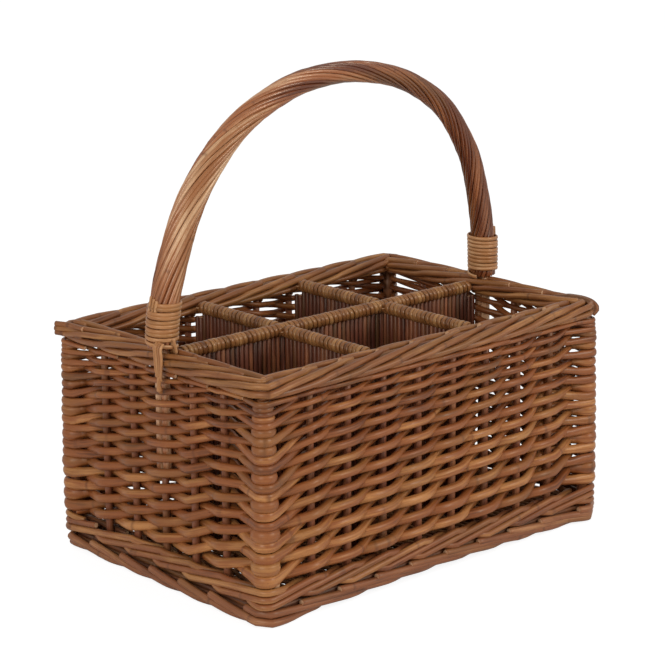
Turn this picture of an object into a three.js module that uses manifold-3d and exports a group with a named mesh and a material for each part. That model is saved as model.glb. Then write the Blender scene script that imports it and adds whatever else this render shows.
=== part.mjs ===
// Wicker bottle basket with six cells and a fixed roped handle.
// Millimetres, +Z up. X runs along the long walls, Y across them, and the
// floor is z = 0. The handle spans X, from one short wall to the other.

import * as THREE from 'three';
import Module from 'manifold-3d';
import { mergeVertices } from 'three/addons/utils/BufferGeometryUtils.js';

const wasm = await Module();
wasm.setup();

// Driving sizes of the stake frame
const postSpacingX = 336;
const postSpacingY = 229.8;
const frontSpaces = 9;
const endSpaces = 6;
const cornerSpaceShare = 1.2;
const stakeRadius = 3;
const postRadius = 4.6;
const fitGap = 0.3;
const rodSides = 6;

// Heights, from the floor up
const footHeight = 13.7;
const waleHeight = 17.5;
const rimBottom = 168;
const rimTop = 183.5;
const baseThickness = 7;

// Weavers
const weaverWidth = 5;
const waleWidth = 4.4;
const sidingPasses = 24;
const walePasses = 3;
const sidingTaperShare = 0.2;
const packShare = 0.9;
const wrapPackShare = 0.97;
const fusedPackShare = 1.08;
const bendShare = 1.05;
const wrapBendShare = 1.08;
const weaverEndShare = 0.3;

// Foot border
const footRodRadius = 3;
const footDropShare = 1.85;
const footReachShare = 2.4;
const footTailOut = 3;
const footLeadShare = 0.25;
const footSink = 0.5;

// Rim
const rimHalfWidth = 12.6;
const rimSetIn = 2.6;
const rimRods = 5;
const rimGrooveShare = 0.17;
const rimTurnsPerSpaceShare = 0.16;
const rimRingsPerSpace = 2;

// Handle
const handleCrown = 369.5;
const handleBaseRadius = 10.7;
const handleStrands = 9;
const handleGrooveShare = 0.12;
const handleTurns = 2.7;
const handleRings = 28;
const handleSeat = 0.7;

// Bow ends that run down into the short walls
const bowRadius = 3.5;
const bowDepth = 82;
const bowSides = 12;

// Whipping at each foot of the handle
const whipLoops = 9;
const whipSteps = 12;
const skeinWidth = 2.7;
const skeinThickness = 1.4;
const whipPitch = 3.3;
const whipRise = 4;
const whipRoom = 0.25;
const footEndShare = 0.25;
const halvings = 20;

// Lashing that crosses the rim below the whipping
const lashStrands = 4;
const lashWidth = 12;
const lashThickness = 2.6;
const lashDrop = 18;
const lashTailWidth = 3.4;
const lashShoulder = 3.2;
const lashGrooveShare = 0.25;

// Dividers
const divBarRadius = 5;
const uprightRadius = 2.4;
const uprightPitch = 13;
const uprightSides = 4;
const barSides = 8;

// Base
const baseRib = 8;
const baseRibDepth = 1.4;

const pi = Math.PI;
const quarter = pi / 2;
const up = new THREE.Vector3(0, 0, 1);

const halfX = postSpacingX / 2;
const halfY = postSpacingY / 2;
const waleBottom = footHeight + fitGap;
const sidingBottom = waleBottom + waleHeight + fitGap;
const sidingTop = rimBottom - fitGap;
const handleHalfSpan = halfX;
const handleFoot = rimTop + handleSeat;
const bowBottom = rimBottom - bowDepth;
const whipBottom = handleFoot + whipRise;
const lashBottom = rimBottom - lashDrop;
const wallInside = (bowRadius + fitGap + weaverWidth / 2) * wrapBendShare + weaverWidth / 2;

// Colours taken from the willow: the uprights are darkest, the handle lightest
const finish = {
  siding: [0x9a5f38, 0.55],
  stake: [0x7d4a33, 0.6],
  wale: [0xa56c3e, 0.55],
  foot: [0x8e5838, 0.6],
  rim: [0x9c6539, 0.5],
  handle: [0xb27446, 0.5],
  skein: [0xc08c56, 0.5],
  divider: [0x6b3a26, 0.6],
  base: [0x8a5a3a, 0.65],
};

const basket = new THREE.Group();

function place(name, geometry, kind) {
  const [color, roughness] = finish[kind];
  const material = new THREE.MeshStandardMaterial({ color, roughness, metalness: 0 });
  const mesh = new THREE.Mesh(geometry, material);
  mesh.name = name;
  basket.add(mesh);
  return mesh;
}

// Skins a closed body over a list of rings that have the same number of points
function loft(rings) {
  const count = rings[0].length;
  const points = rings.flat();
  const index = [];
  for (let r = 0; r + 1 < rings.length; r += 1) {
    for (let i = 0; i < count; i += 1) {
      const a = r * count + i;
      const b = r * count + (i + 1) % count;
      index.push(a, b, b + count, a, b + count, a + count);
    }
  }
  const last = (rings.length - 1) * count;
  for (const [a, b, c] of capFaces(rings[0])) {
    index.push(c, b, a);
  }
  for (const [a, b, c] of capFaces(rings[rings.length - 1])) {
    index.push(last + a, last + b, last + c);
  }
  const flat = points.flatMap((p) => [p.x, p.y, p.z]);
  if (signedVolume(points, index) < 0) {
    index.reverse();
  }
  const geometry = new THREE.BufferGeometry();
  geometry.setAttribute('position', new THREE.Float32BufferAttribute(flat, 3));
  geometry.setIndex(index);
  return geometry;
}

// Triangles of a flat ring, wound the way the ring itself runs
function capFaces(ring) {
  const normal = new THREE.Vector3();
  ring.forEach((p, i) => {
    normal.add(new THREE.Vector3().crossVectors(p, ring[(i + 1) % ring.length]));
  });
  const right = new THREE.Vector3().subVectors(ring[1], ring[0]).normalize();
  const ahead = new THREE.Vector3().crossVectors(normal.normalize(), right);
  const outline = ring.map((p) => new THREE.Vector2(p.dot(right), p.dot(ahead)));
  return THREE.ShapeUtils.triangulateShape(outline, []);
}

function signedVolume(points, index) {
  let sum = 0;
  const edge = new THREE.Vector3();
  for (let i = 0; i < index.length; i += 3) {
    edge.crossVectors(points[index[i + 1]], points[index[i + 2]]);
    sum += points[index[i]].dot(edge);
  }
  return sum;
}

function toSolid(geometry) {
  const bare = geometry.clone();
  bare.deleteAttribute('normal');
  bare.deleteAttribute('uv');
  const merged = mergeVertices(bare);
  const vertProperties = new Float32Array(merged.attributes.position.array);
  const triVerts = new Uint32Array(merged.index.array);
  return new wasm.Manifold(new wasm.Mesh({ numProp: 3, vertProperties, triVerts }));
}

function toGeometry(solid) {
  const mesh = solid.getMesh();
  const geometry = new THREE.BufferGeometry();
  geometry.setAttribute('position', new THREE.BufferAttribute(mesh.vertProperties, 3));
  geometry.setIndex(new THREE.BufferAttribute(mesh.triVerts, 1));
  return geometry;
}

function fuse(geometries) {
  const solids = geometries.map(toSolid);
  return solids.reduce((sum, solid) => sum.add(solid));
}

// The four walls, seen from outside. "along" runs to the right and "out"
// faces the viewer, so the walls follow each other round the basket.
const walls = [
  { name: 'front', along: [1, 0], out: [0, -1], half: halfX, set: halfY, spaces: frontSpaces },
  { name: 'right', along: [0, 1], out: [1, 0], half: halfY, set: halfX, spaces: endSpaces },
  { name: 'back', along: [-1, 0], out: [0, 1], half: halfX, set: halfY, spaces: frontSpaces },
  { name: 'left', along: [0, -1], out: [-1, 0], half: halfY, set: halfX, spaces: endSpaces },
];

// Turns a place along, out and up on a wall into basket coordinates
function onWall(wall, u, n, z) {
  const reach = wall.set + n;
  return new THREE.Vector3(
    wall.along[0] * u + wall.out[0] * reach,
    wall.along[1] * u + wall.out[1] * reach,
    z,
  );
}

// The stakes stand evenly, with a wider space beside each corner post
function stakeSpace(wall) {
  return (2 * wall.half) / (wall.spaces - 2 + 2 * cornerSpaceShare);
}

function stakeAt(wall, j) {
  if (j === 0 || j === wall.spaces) {
    return j === 0 ? -wall.half : wall.half;
  }
  return (j - wall.spaces / 2) * stakeSpace(wall);
}

// The middle of a short wall holds the two ends of the bow side by side
function holdsBow(wall, j) {
  return wall.spaces === endSpaces && j === endSpaces / 2;
}

// Route of one weaver past stakes first..last, out where outside(j) holds.
// At a corner post every weaver goes round the outside up to the mitre.
function weaverRoute(wall, first, last, width, outside, heightAt, fusedAt) {
  const route = [];
  const clear = fitGap + width / 2;
  for (let j = first; j <= last; j += 1) {
    const u = stakeAt(wall, j);
    const { z, pitch } = heightAt(j);
    const side = outside(j) ? 1 : -1;
    const isPost = j === 0 || j === wall.spaces;
    if (isPost) {
      const away = j === 0 ? -1 : 1;
      const wrap = (postRadius + clear) * wrapBendShare * Math.SQRT1_2;
      const mitreGap = fitGap / 2;
      const height = pitch * wrapPackShare;
      const post = { u, n: postRadius + clear, z, height, width };
      const mitre = {
        u: u + away * (wrap - mitreGap),
        n: wrap,
        z,
        height: fusedAt(j) ? pitch * fusedPackShare : height,
        width,
        turn: away,
      };
      route.push(...(j === 0 ? [mitre, post] : [post, mitre]));
    } else if (holdsBow(wall, j)) {
      const n = side * (bowRadius + clear) * bendShare;
      const reach = 2 * bowRadius;
      const height = pitch * packShare;
      route.push({ u: u - reach, n, z, height, width }, { u: u + reach, n, z, height, width });
    } else {
      const n = side * (stakeRadius + clear) * bendShare;
      route.push({ u, n, z, height: pitch * packShare, width });
    }
  }
  return route;
}

// A weaver has a three-sided section, with its ridge outside like a round rod
function weaverRod(wall, route) {
  const rings = route.map((p, i) => {
    const a = route[Math.max(i - 1, 0)];
    const b = route[Math.min(i + 1, route.length - 1)];
    const before = new THREE.Vector2(p.u - a.u, p.n - a.n).normalize();
    const after = new THREE.Vector2(b.u - p.u, b.n - p.n).normalize();
    const tangent = before.clone().add(after).normalize();
    if (p.turn) {
      tangent.set(Math.SQRT1_2, -p.turn * Math.SQRT1_2);
    }
    const straight = Math.max(tangent.dot(before), tangent.dot(after));
    const spread = p.width / 2 / straight;
    const du = -tangent.y * spread;
    const dn = tangent.x * spread;
    const lift = p.height / 2;
    return [
      onWall(wall, p.u + du, p.n + dn, p.z),
      onWall(wall, p.u - du, p.n - dn, p.z + lift),
      onWall(wall, p.u - du, p.n - dn, p.z - lift),
    ];
  });
  return loft(rings);
}

// Siding in French rand: each weaver climbs one pass at every stake, so all
// outside strokes of a round lie at one height. Butts are low, tips high.
function sidingPass(k) {
  const mean = (sidingTop - sidingBottom) / sidingPasses;
  const low = mean * (1 + sidingTaperShare);
  const fall = (mean * 2 * sidingTaperShare) / sidingPasses;
  const reach = k + 1 / 2;
  return { z: sidingBottom + reach * low - (reach * reach * fall) / 2, pitch: low - reach * fall };
}

// Adds a short level end to a route, which runs into the next space on its
// way to the other side of the next stake
function addEnd(route, wall, atStart) {
  const p = atStart ? route[0] : route[route.length - 1];
  const space = stakeSpace(wall) * (Math.abs(p.u) < wall.half ? 1 : cornerSpaceShare);
  const step = (atStart ? -1 : 1) * space * weaverEndShare;
  const beyond = -Math.sign(p.n) * (stakeRadius + fitGap + p.width / 2) * bendShare;
  const end = { ...p, u: p.u + step, n: THREE.MathUtils.lerp(p.n, beyond, weaverEndShare) };
  if (atStart) {
    route.unshift(end);
  } else {
    route.push(end);
  }
}

function siding(wall) {
  const rods = [];
  for (let start = 1 - wall.spaces; start < sidingPasses; start += 1) {
    const first = Math.max(0, -start);
    const last = Math.min(wall.spaces, sidingPasses - 1 - start);
    const route = weaverRoute(wall, first, last, weaverWidth,
      (j) => (start + j) % 2 === 0, (j) => sidingPass(start + j),
      (j) => j === 0 || start <= 0);
    if (first > 0) {
      addEnd(route, wall, true);
    }
    if (last < wall.spaces) {
      addEnd(route, wall, false);
    }
    rods.push(weaverRod(wall, route));
  }
  return toGeometry(fuse(rods));
}

// Level rows of thinner rods that hold the stakes just above the foot
function wale(wall) {
  const rods = [];
  const pitch = waleHeight / walePasses;
  for (let row = 0; row < walePasses; row += 1) {
    const z = waleBottom + (row + 1 / 2) * pitch;
    rods.push(weaverRod(wall, weaverRoute(wall, 0, wall.spaces, waleWidth,
      (j) => (row + j) % 2 === 0, () => ({ z, pitch }), (j) => j === 0)));
  }
  return toGeometry(fuse(rods));
}

// Foot border: each rod leaves under the wale and runs down to the right,
// over the tail of the one before it, and the whole border is cut flat
function footBorder(wall) {
  const space = (2 * wall.half) / wall.spaces;
  const flat = footRodRadius * Math.cos(pi / rodSides);
  const low = flat - footSink;
  const high = footHeight - flat;
  const face = stakeRadius + fitGap + weaverWidth / 2;
  const end = wall.half + face;
  const rods = [];
  for (let j = -Math.ceil(footReachShare); j <= wall.spaces; j += 1) {
    const start = -wall.half + (j - footLeadShare) * space;
    const places = [
      [start, face, high],
      [start + space * footDropShare, footTailOut, low],
      [start + space * footReachShare, footTailOut, low],
    ];
    rods.push(straightRod(wall, places, footRodRadius));
  }
  const mitre = wedge(wall, end, footHeight);
  return toGeometry(fuse(rods).intersect(mitre));
}

function straightRod(wall, places, radius) {
  const rings = places.map(([u, n, z]) => {
    const ring = [];
    for (let i = 0; i < rodSides; i += 1) {
      const angle = (i * 2 * pi) / rodSides;
      ring.push(onWall(wall, u, n + radius * Math.cos(angle), z + radius * Math.sin(angle)));
    }
    return ring;
  });
  return loft(rings);
}

// The room of one wall: bounded by the floor and by the mitres at both corners
function wedge(wall, reach, height) {
  const gap = fitGap / 2;
  const inner = -reach / 2;
  const outer = reach;
  const ring = (z) => [
    onWall(wall, -wall.half - inner + gap, inner, z),
    onWall(wall, -wall.half - outer + gap, outer, z),
    onWall(wall, wall.half + outer - gap, outer, z),
    onWall(wall, wall.half + inner - gap, inner, z),
  ];
  return toSolid(loft([ring(0), ring(height)]));
}

// Rolled rim: a rope of rods lying round the wall, mitred at the corners
function rim(wall) {
  const midZ = (rimBottom + rimTop) / 2;
  const halfHeight = (rimTop - rimBottom) / 2;
  const ringCount = wall.spaces * rimRingsPerSpace;
  const rings = [];
  for (let r = 0; r <= ringCount; r += 1) {
    const share = (2 * r) / ringCount - 1;
    const phase = -2 * pi * rimTurnsPerSpaceShare * (r / rimRingsPerSpace);
    const ring = [];
    for (let i = 0; i < 2 * rimRods; i += 1) {
      const angle = phase + (i * pi) / rimRods;
      const size = i % 2 === 0 ? 1 : 1 - rimGrooveShare;
      const n = rimHalfWidth * size * Math.cos(angle) - rimSetIn;
      const z = midZ + halfHeight * size * Math.sin(angle);
      ring.push(onWall(wall, share * (wall.half + n - fitGap / 2), n, z));
    }
    rings.push(ring);
  }
  const band = loft(rings);
  if (wall.spaces !== endSpaces) {
    return band;
  }
  const hole = toSolid(bowEnd(wall, rimBottom - fitGap, rimTop + fitGap, bowRadius + fitGap));
  return toGeometry(toSolid(band).subtract(hole));
}

// Section of the two bow rods, side by side
function bowEnd(wall, bottom, top, radius) {
  const ring = (z) => {
    const points = [];
    for (let i = 0; i < bowSides; i += 1) {
      const angle = ((i + 1 / 2) * 2 * pi) / bowSides;
      const u = Math.cos(angle);
      const shift = Math.sign(u) * bowRadius;
      points.push(onWall(wall, shift + radius * u, radius * Math.sin(angle), z));
    }
    return points;
  };
  return loft([ring(bottom), ring(top)]);
}

// Handle centre line, from the left foot to the right foot, hand bent
const handleShares = [
  [-1, 0], [-0.994, 0.116], [-0.97, 0.232], [-0.929, 0.362], [-0.868, 0.504], [-0.776, 0.646],
  [-0.651, 0.77], [-0.509, 0.868], [-0.344, 0.938], [-0.181, 0.981], [0.04, 1], [0.251, 0.983],
  [0.445, 0.936], [0.626, 0.852], [0.755, 0.752], [0.893, 0.563], [0.952, 0.398], [0.991, 0.22],
  [1, 0],
];

// Girth along the handle, from the left foot: butts are thick and tips thin
const handleFullness = [1, 1.047, 1.028, 0.916, 0.85, 0.785, 0.766, 0.776, 0.794, 0.87, 0.953];

function handleCurve() {
  const rise = handleCrown - handleFoot;
  const points = handleShares.map(([x, z]) => new THREE.Vector3(
    x * handleHalfSpan, 0, handleFoot + z * rise,
  ));
  return new THREE.CatmullRomCurve3(points, false, 'centripetal');
}

const handleLine = handleCurve();

function handleRadius(t) {
  const spot = t * (handleFullness.length - 1);
  const i = Math.min(Math.floor(spot), handleFullness.length - 2);
  const fullness = THREE.MathUtils.lerp(handleFullness[i], handleFullness[i + 1], spot - i);
  return handleBaseRadius * fullness;
}

// Strands laid round the bow: a fluted section that turns as it is swept
function handleRope() {
  const across = new THREE.Vector3(0, 1, 0);
  const rings = [];
  for (let r = 0; r <= handleRings; r += 1) {
    const t = r / handleRings;
    const centre = handleLine.getPointAt(t);
    const tangent = handleLine.getTangentAt(t);
    if (r === 0 || r === handleRings) {
      tangent.set(0, 0, r === 0 ? 1 : -1);
    }
    const side = new THREE.Vector3().crossVectors(across, tangent).normalize();
    const ring = [];
    for (let i = 0; i < 2 * handleStrands; i += 1) {
      const angle = (i * pi) / handleStrands + 2 * pi * handleTurns * t;
      const size = handleRadius(t) * (i % 2 === 0 ? 1 : 1 - handleGrooveShare);
      ring.push(centre.clone()
        .addScaledVector(side, size * Math.cos(angle))
        .addScaledVector(across, size * Math.sin(angle)));
    }
    rings.push(ring);
  }
  return loft(rings);
}

// Whipping: one flat skein wound round the foot of the handle, one unbroken
// tube, with straight ends one width long
function whipping(sign) {
  const steps = whipLoops * whipSteps;
  const clear = fitGap + whipRoom + skeinThickness / 2;
  const centres = [];
  for (let i = 0; i <= steps; i += 1) {
    const angle = (i / whipSteps) * 2 * pi;
    const z = whipBottom + (i / whipSteps) * whipPitch;
    const { x, reach } = handleAt(z, sign);
    const radius = (reach + clear) / Math.cos(pi / whipSteps);
    centres.push(new THREE.Vector3(x + radius * Math.cos(angle), radius * Math.sin(angle), z));
  }
  const startWay = centres[0].clone().sub(centres[1]).normalize();
  const endWay = centres[steps].clone().sub(centres[steps - 1]).normalize();
  centres.unshift(centres[0].clone().addScaledVector(startWay, skeinWidth));
  centres.push(centres[centres.length - 1].clone().addScaledVector(endWay, skeinWidth));
  const rings = centres.map((centre, i) => {
    const a = centres[Math.max(i - 1, 0)];
    const b = centres[Math.min(i + 1, centres.length - 1)];
    const tangent = b.clone().sub(a).normalize();
    const outward = new THREE.Vector3().crossVectors(tangent, up).normalize();
    const rise = new THREE.Vector3().crossVectors(outward, tangent).normalize();
    const ring = [];
    for (const [x, z] of [[-1, -1], [1, -1], [1, 1], [-1, 1]]) {
      ring.push(centre.clone()
        .addScaledVector(outward, (x * skeinThickness) / 2)
        .addScaledVector(rise, (z * skeinWidth) / 2));
    }
    return ring;
  });
  console.log(`whipping least gap to itself ${leastGap(rings, whipSteps).toFixed(2)} mm`);
  return loft(rings);
}

// Least distance between the points of rings that are about a loop apart
function leastGap(rings, loopSteps) {
  let least = Infinity;
  for (let i = 0; i < rings.length; i += 1) {
    for (let j = i + loopSteps / 2; j < rings.length; j += 1) {
      for (const p of rings[i]) {
        for (const q of rings[j]) {
          least = Math.min(least, p.distanceTo(q));
        }
      }
    }
  }
  return least;
}

// Middle of one leg at height z, and how far its level section reaches
function handleAt(z, sign) {
  let low = 0;
  let high = footEndShare;
  for (let i = 0; i < halvings; i += 1) {
    const mid = (low + high) / 2;
    if (handleLine.getPointAt(sign < 0 ? mid : 1 - mid).z < z) {
      low = mid;
    } else {
      high = mid;
    }
  }
  const t = sign < 0 ? low : 1 - low;
  const slope = Math.abs(handleLine.getTangentAt(t).z);
  return { x: handleLine.getPointAt(t).x, reach: handleRadius(t) / slope };
}

// Lashing: strands side by side that leave the whipping, cross the outside
// of the rim and end in one tapered tail against the weave
function lashing(wall) {
  const topZ = whipBottom - skeinWidth;
  const leg = handleAt(topZ, wall.out[0]);
  const legOut = Math.abs(leg.x) - wall.set + leg.reach;
  const rimOut = Math.max(rimHalfWidth - rimSetIn, legOut) + fitGap + lashThickness / 2;
  const weaveOut = bowRadius + 2 * fitGap + weaverWidth + lashThickness / 2 + fitGap;
  const stations = [
    [topZ, rimOut, lashWidth],
    [rimTop - lashShoulder, rimOut, lashWidth],
    [(rimTop + rimBottom) / 2, rimOut, lashWidth],
    [rimBottom, (rimOut + weaveOut) / 2, lashWidth],
    [rimBottom - lashWidth / 2, weaveOut, lashTailWidth * 2],
    [rimBottom - lashWidth, weaveOut, lashTailWidth],
    [lashBottom, weaveOut, lashTailWidth / 2],
  ];
  const rings = stations.map(([z, n, width]) => {
    const ring = [];
    const count = 2 * lashStrands;
    for (let i = 0; i <= count; i += 1) {
      const crest = (lashThickness / 2) * (i % 2 === 1 ? 1 : lashGrooveShare);
      ring.push(onWall(wall, (i / count - 1 / 2) * width, n + crest, z));
    }
    ring.push(onWall(wall, width / 2, n - lashThickness / 2, z));
    ring.push(onWall(wall, -width / 2, n - lashThickness / 2, z));
    return ring;
  });
  return loft(rings);
}

// A divider: a bar on uprights that stand on the base
function divider(length, alongX, centre) {
  const barZ = rimBottom - fitGap - divBarRadius;
  const baseTop = waleBottom + baseThickness;
  const bar = new THREE.CylinderGeometry(divBarRadius, divBarRadius, length, barSides);
  bar.rotateY(pi / barSides);
  bar.rotateZ(quarter);
  bar.translate(0, 0, barZ);
  const parts = [bar];
  const count = Math.floor(length / uprightPitch);
  const height = barZ - baseTop - fitGap;
  for (let i = 0; i < count; i += 1) {
    const stick = new THREE.CylinderGeometry(uprightRadius, uprightRadius, height, uprightSides);
    stick.rotateX(quarter);
    stick.translate((i - (count - 1) / 2) * uprightPitch, 0, baseTop + fitGap + height / 2);
    parts.push(stick);
  }
  const geometry = toGeometry(fuse(parts));
  if (!alongX) {
    geometry.rotateZ(quarter);
  }
  geometry.translate(centre.x, centre.y, 0);
  return geometry;
}

// Base: a mat of rods laid across, ribbed above and below
function base() {
  const reachX = halfX - wallInside - fitGap;
  const reachY = halfY - wallInside - fitGap;
  const count = 2 * Math.round(reachX / baseRib);
  const rib = (2 * reachX) / count;
  const shape = new THREE.Shape();
  shape.moveTo(-reachX, baseRibDepth);
  for (let i = 0; i < count; i += 1) {
    shape.lineTo(-reachX + (i + 1 / 2) * rib, 0);
    shape.lineTo(-reachX + (i + 1) * rib, baseRibDepth);
  }
  for (let i = count; i > 0; i -= 1) {
    shape.lineTo(-reachX + i * rib, baseThickness - baseRibDepth);
    shape.lineTo(-reachX + (i - 1 / 2) * rib, baseThickness);
  }
  shape.lineTo(-reachX, baseThickness - baseRibDepth);
  const geometry = new THREE.ExtrudeGeometry(shape, { depth: 2 * reachY, bevelEnabled: false });
  geometry.rotateX(quarter);
  geometry.translate(0, reachY, waleBottom);
  return geometry;
}

function stake(wall, j) {
  const radius = j === 0 ? postRadius : stakeRadius;
  const bottom = waleBottom;
  const top = holdsBow(wall, j) ? bowBottom - fitGap : rimBottom - fitGap;
  const geometry = new THREE.CylinderGeometry(radius, radius, top - bottom, rodSides);
  geometry.rotateX(quarter);
  const at = onWall(wall, stakeAt(wall, j), 0, (top + bottom) / 2);
  geometry.translate(at.x, at.y, at.z);
  return geometry;
}

for (const wall of walls) {
  for (let j = 0; j < wall.spaces; j += 1) {
    const name = j === 0 ? `corner_post_${wall.name}` : `stake_${wall.name}_${j}`;
    place(name, stake(wall, j), 'stake');
  }
  place(`siding_${wall.name}`, siding(wall), 'siding');
  place(`wale_${wall.name}`, wale(wall), 'wale');
  place(`foot_border_${wall.name}`, footBorder(wall), 'foot');
  place(`rim_${wall.name}`, rim(wall), 'rim');
}

for (const wall of walls.filter((w) => w.spaces === endSpaces)) {
  const sign = wall.out[0];
  place(`bow_end_${wall.name}`, bowEnd(wall, bowBottom, handleFoot - fitGap, bowRadius), 'handle');
  place(`whipping_${wall.name}`, whipping(sign), 'skein');
  place(`lashing_${wall.name}`, lashing(wall), 'skein');
}
place('handle_rope', handleRope(), 'handle');

const insideX = halfX - wallInside - fitGap;
const insideY = halfY - wallInside - fitGap;
const crossX = insideX / 3;
const crossInner = divBarRadius + fitGap;
place('divider_long', divider(2 * insideX, true, new THREE.Vector3()), 'divider');
for (const [sideX, nameX] of [[-1, 'left'], [1, 'right']]) {
  for (const [sideY, nameY] of [[-1, 'front'], [1, 'back']]) {
    const length = insideY - crossInner;
    const centre = new THREE.Vector3(sideX * crossX, sideY * (crossInner + length / 2), 0);
    place(`divider_${nameX}_${nameY}`, divider(length, false, centre), 'divider');
  }
}
place('base_mat', base(), 'base');

export default basket;
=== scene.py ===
import math
from math import cos, pi, radians, sin
import random

import bpy
import numpy as np
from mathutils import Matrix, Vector


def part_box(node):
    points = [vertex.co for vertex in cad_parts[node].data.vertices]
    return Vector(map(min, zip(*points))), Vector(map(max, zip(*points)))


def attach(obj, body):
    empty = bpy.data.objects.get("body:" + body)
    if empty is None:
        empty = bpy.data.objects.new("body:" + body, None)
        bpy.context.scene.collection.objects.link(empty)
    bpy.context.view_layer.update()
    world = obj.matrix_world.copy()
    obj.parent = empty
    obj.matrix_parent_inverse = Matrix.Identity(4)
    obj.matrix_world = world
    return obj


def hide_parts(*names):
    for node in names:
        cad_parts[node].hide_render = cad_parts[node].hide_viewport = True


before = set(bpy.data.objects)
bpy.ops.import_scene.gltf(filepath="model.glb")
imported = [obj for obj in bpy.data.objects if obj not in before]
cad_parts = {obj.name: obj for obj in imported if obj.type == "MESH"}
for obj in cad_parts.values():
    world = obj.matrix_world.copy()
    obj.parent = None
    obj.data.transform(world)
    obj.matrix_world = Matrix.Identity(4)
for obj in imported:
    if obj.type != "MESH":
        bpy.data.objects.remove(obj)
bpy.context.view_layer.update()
print("stage: frame loaded,", len(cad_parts), "nodes")

mm = 0.001
fullTurn = 2 * pi

# The stake frame that every rod follows, in millimetres. Places round the
# basket are counted in spaces between stakes, from the front left corner on.
body = {
    "halfX": 168.0,
    "halfY": 114.9,
    "frontSpaces": 9,
    "endSpaces": 6,
    "cornerSpaceShare": 1.2,
    "stakeRadius": 3.0,
    "postRadius": 4.6,
    "bowRadius": 3.5,
    "bowBottom": 86.0,
    "rimBottom": 168.0,
    "rimTop": 183.5,
    "baseBottom": 14.2,
    "baseTop": 20.8,
}

walls = []
for name, along in (("front", (1, 0)), ("right", (0, 1)), ("back", (-1, 0)), ("left", (0, -1))):
    half, reach, spaces = body["halfX"], body["halfY"], body["frontSpaces"]
    if along[0] == 0:
        half, reach, spaces = body["halfY"], body["halfX"], body["endSpaces"]
    space = 2 * half / (spaces - 2 + 2 * body["cornerSpaceShare"])
    walls.append({
        "name": name, "along": along, "out": (along[1], -along[0]), "half": half, "set": reach,
        "long": along[0] != 0, "spaces": spaces, "space": space,
        "cornerSpace": body["cornerSpaceShare"] * space, "first": sum(w["spaces"] for w in walls),
    })
places = sum(w["spaces"] for w in walls)
cornerPlaces = {w["first"] for w in walls}
bowPlaces = {w["first"] + w["spaces"] // 2 for w in walls if not w["long"]}


def wallAt(place):
    place = place % places
    w = [wall for wall in walls if place >= wall["first"] - 1e-9][-1]
    return w, place - w["first"]


def isCorner(q):
    return q % places in cornerPlaces


def spaceOf(place):
    # the stake before a place, and the share of the space after it
    q = math.floor(place + 1e-9)
    return q, place - q


def uAt(w, local):
    # the spaces beside the corner posts are wider than the others
    if local < 1:
        return -w["half"] + local * w["cornerSpace"]
    if local > w["spaces"] - 1:
        return w["half"] - (w["spaces"] - local) * w["cornerSpace"]
    return (local - w["spaces"] / 2) * w["space"]


def onWall(w, u, n, z):
    reach = w["set"] + n
    return (w["along"][0] * u + w["out"][0] * reach, w["along"][1] * u + w["out"][1] * reach, z)


def wobble(a, b, seed):
    # slow hand-made unevenness, from -1 to 1
    return 0.5 * sin(1.7 * a + 0.9 * b + seed) + 0.5 * sin(0.63 * a - 1.3 * b + 2.1 * seed)


def mix(a, b, t):
    return a + (b - a) * t


def smooth(t):
    t = min(max(t, 0.0), 1.0)
    return 0.5 - 0.5 * cos(pi * t)


goldenShare = 0.6180339


# A bundle collects rods and skeins that become one mesh
def newBundle():
    return {"points": [], "faces": [], "coord": [], "shade": []}


def addRings(bundle, rings, alongs, arounds, tone, ends, knots=0.0):
    # ends: True where that end is a pale cut face
    rings = np.asarray(rings, float)
    n, sides, _ = rings.shape
    base = len(bundle["points"])
    # every rod reads its own stretch of the bark pattern
    shift = 1000 * ((base * goldenShare) % 1.0)
    tones, knots = np.broadcast_to(tone, n), np.broadcast_to(knots, n)

    def addPoint(r, point, around, cut, knot):
        bundle["points"].append(point)
        bundle["coord"].append((alongs[r] + shift, *around))
        bundle["shade"].append((tones[r], cut, knot, 1.0))

    for r in range(n):
        for s in range(sides):
            addPoint(r, rings[r, s], arounds[r][s], 0.0, knots[r])
    for r in range(n - 1):
        for s in range(sides):
            a = base + r * sides + s
            b = base + r * sides + (s + 1) % sides
            bundle["faces"].append((a, b, b + sides, a + sides))
    for r, cut in ((0, ends[0]), (n - 1, ends[1])):
        # a cap ring keeps the cut face's colour off the bark
        start = len(bundle["points"])
        for s in range(sides):
            addPoint(r, rings[r, s], arounds[r][s], float(cut), 0.0)
        addPoint(r, rings[r].mean(axis=0), (0.0, 0.0), float(cut), 0.0)
        for s in range(sides):
            a, b = start + s, start + (s + 1) % sides
            bundle["faces"].append((a, b, start + sides) if r > 0 else (b, a, start + sides))


def directionsOf(path):
    tangents = np.gradient(path, axis=0)
    return tangents / np.maximum(np.linalg.norm(tangents, axis=1, keepdims=True), 1e-9)


def lengthsOf(path):
    steps = np.linalg.norm(np.diff(path, axis=0), axis=1)
    return np.concatenate([[0.0], np.cumsum(steps)])


def mixAt(a, b, low, high, t):
    return (high - t) / (high - low) * a + (t - low) / (high - low) * b


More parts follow.
